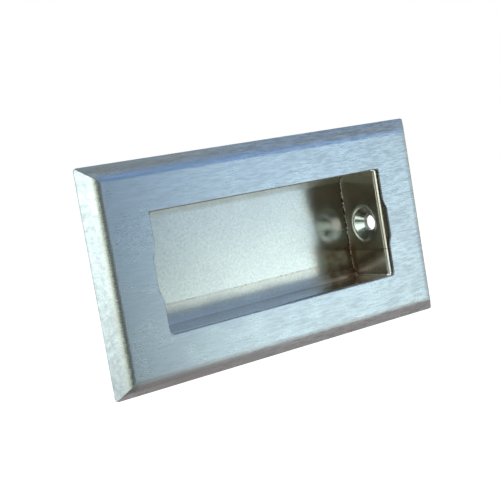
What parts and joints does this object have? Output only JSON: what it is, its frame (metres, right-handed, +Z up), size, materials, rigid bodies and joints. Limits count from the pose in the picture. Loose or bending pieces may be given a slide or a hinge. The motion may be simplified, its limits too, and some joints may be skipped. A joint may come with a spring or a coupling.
{
  "type": "flush pull",
  "caption": "Rectangular flush pull for a sliding door: bevelled face plate round a recessed finger cup with screw holes in its end walls.",
  "frame": {"origin": "centre of the face plate's rear plane, where its rim seats on the door", "axes": "+X along the plate, +Y into the door, +Z up; the front faces -Y"},
  "size_m": [0.127, 0.0222, 0.0682],
  "materials": {
    "brushed_satin_chrome": "satin chrome on sheet steel, brushed along the length",
    "plain_satin_chrome": "satin chrome on sheet steel, plated as rolled"
  },
  "bodies": {
    "root": {"face_plate": "brushed_satin_chrome", "cup_channel": "plain_satin_chrome", "end_bracket_left": "plain_satin_chrome", "end_bracket_right": "plain_satin_chrome"}
  },
  "joints": []
}
